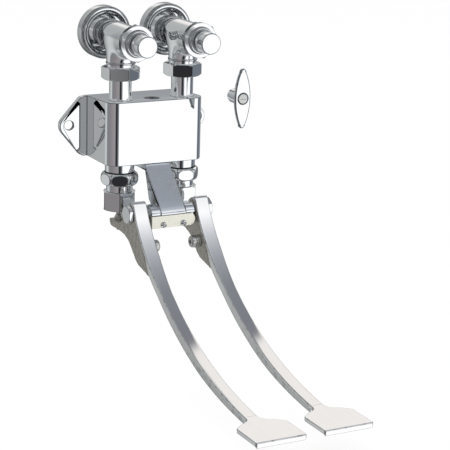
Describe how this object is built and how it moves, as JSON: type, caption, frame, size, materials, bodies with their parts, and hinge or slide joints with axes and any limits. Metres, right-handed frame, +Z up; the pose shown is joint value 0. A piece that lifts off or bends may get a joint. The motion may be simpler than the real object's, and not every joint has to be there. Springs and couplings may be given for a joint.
{
  "type": "foot pedal tap valve",
  "caption": "Wall-mounted foot pedal valve: loose-key stops and tubes feed a box with an outlet on top, and long curved pedals lift self-closing valves under it.",
  "frame": {"origin": "on the wall plane, at the middle of the box's back", "axes": "+Y into the wall, -Y forwards to the pedals, +Z up, +X to the right as seen from the front"},
  "size_m": [0.1554, 0.3715, 0.3132],
  "materials": {
    "chrome": "polished chrome plate on brass",
    "plain_chrome": "warm, slightly dull chrome plate",
    "nickel": "nickel-grey rough casting",
    "steel": "bright turned steel",
    "brass": "machined brass",
    "rubber": "matt black rubber"
  },
  "bodies": {
    "valve_group": {"box_casting": "chrome", "hinge_arm": "chrome", "arm_screws": "steel", "keeper_plate": "plain_chrome", "keeper_screws": "chrome", "hinge_pin": "chrome", "pin_nut": "chrome", "thrust_washers": "steel", "supply_tube_left": "chrome", "supply_tube_right": "chrome", "coupling_nut_left": "chrome", "coupling_nut_right": "chrome", "coupling_washers": "rubber", "stop_body_left": "chrome", "stop_body_right": "chrome", "wall_flange_left": "chrome", "wall_flange_right": "chrome", "stop_bonnet_left": "chrome", "stop_bonnet_right": "chrome", "stem_packings": "rubber", "packing_nuts": "brass", "valve_barrel_left": "chrome", "valve_barrel_right": "chrome", "bead_nut_left": "chrome", "bead_nut_right": "chrome", "valve_body_left": "chrome", "valve_body_right": "chrome", "valve_seats": "brass", "valve_seals": "rubber", "return_spring_left": "steel", "return_spring_right": "steel"},
    "pedal_left": {"pedal_left": "chrome", "rocker_left": "nickel", "pedal_bolt_left": "steel", "bolt_washers_left": "steel", "dowel_left": "steel", "adjusting_screw_left": "steel", "lock_nut_left": "steel"},
    "push_stem_left": {"push_stem_left": "steel", "valve_disc_left": "rubber"},
    "stop_disc_left": {"stop_disc_left": "brass"},
    "stop_stem_left": {"stop_stem_left": "brass"},
    "stop_cap_left": {"stop_cap_left": "chrome"},
    "pedal_right": {"pedal_right": "chrome", "rocker_right": "nickel", "pedal_bolt_right": "steel", "bolt_washers_right": "steel", "dowel_right": "steel", "adjusting_screw_right": "steel", "lock_nut_right": "steel"},
    "push_stem_right": {"push_stem_right": "steel", "valve_disc_right": "rubber"},
    "stop_disc_right": {"stop_disc_right": "brass"},
    "stop_stem_right": {"stop_stem_right": "brass"},
    "stop_cap_right": {"stop_cap_right": "chrome"},
    "loose_key": {"key_grip": "chrome", "key_hub": "chrome", "key_screw": "steel"}
  },
  "joints": [
    {"name": "tread_left", "type": "hinge", "parent": "valve_group", "child": "pedal_left", "pos_m": [-0.0325, -0.0855, -0.0715], "axis": [1, 0, 0], "range_deg": [0, 5.5]},
    {"name": "lift_left", "type": "slide", "parent": "valve_group", "child": "push_stem_left", "axis": [0, 0, 1], "range_m": [0, 0.00384], "stiffness_N_per_m": 4000, "springref_m": -0.008, "deforming": ["return_spring_left"]},
    {"name": "stop_lift_left", "type": "slide", "parent": "valve_group", "child": "stop_disc_left", "axis": [0, -1, 0], "range_m": [0, 0.004]},
    {"name": "stop_turn_left", "type": "hinge", "parent": "stop_disc_left", "child": "stop_stem_left", "pos_m": [-0.0325, -0.08, 0.0895], "axis": [0, -1, 0], "range_deg": [0, 720]},
    {"name": "cap_pull_left", "type": "slide", "parent": "valve_group", "child": "stop_cap_left", "axis": [0, -1, 0], "range_m": [0, 0.022]},
    {"name": "tread_right", "type": "hinge", "parent": "valve_group", "child": "pedal_right", "pos_m": [0.0325, -0.0855, -0.0715], "axis": [1, 0, 0], "range_deg": [0, 5.5]},
    {"name": "lift_right", "type": "slide", "parent": "valve_group", "child": "push_stem_right", "axis": [0, 0, 1], "range_m": [0, 0.00384], "stiffness_N_per_m": 4000, "springref_m": -0.008, "deforming": ["return_spring_right"]},
    {"name": "stop_lift_right", "type": "slide", "parent": "valve_group", "child": "stop_disc_right", "axis": [0, -1, 0], "range_m": [0, 0.004]},
    {"name": "stop_turn_right", "type": "hinge", "parent": "stop_disc_right", "child": "stop_stem_right", "pos_m": [0.0325, -0.08, 0.0895], "axis": [0, -1, 0], "range_deg": [0, 720]},
    {"name": "cap_pull_right", "type": "slide", "parent": "valve_group", "child": "stop_cap_right", "axis": [0, -1, 0], "range_m": [0, 0.022]},
    {"name": "key_pull", "type": "slide", "parent": "valve_group", "child": "loose_key", "axis": [0, -1, 0], "range_m": [0, 0.05]}
  ],
  "couplings": [
    {"joint": "tread_left", "follows": "lift_left", "rad_per_m": 25},
    {"joint": "stop_turn_left", "follows": "stop_lift_left", "rad_per_m": 3141.6},
    {"joint": "tread_right", "follows": "lift_right", "rad_per_m": 25},
    {"joint": "stop_turn_right", "follows": "stop_lift_right", "rad_per_m": 3141.6}
  ]
}
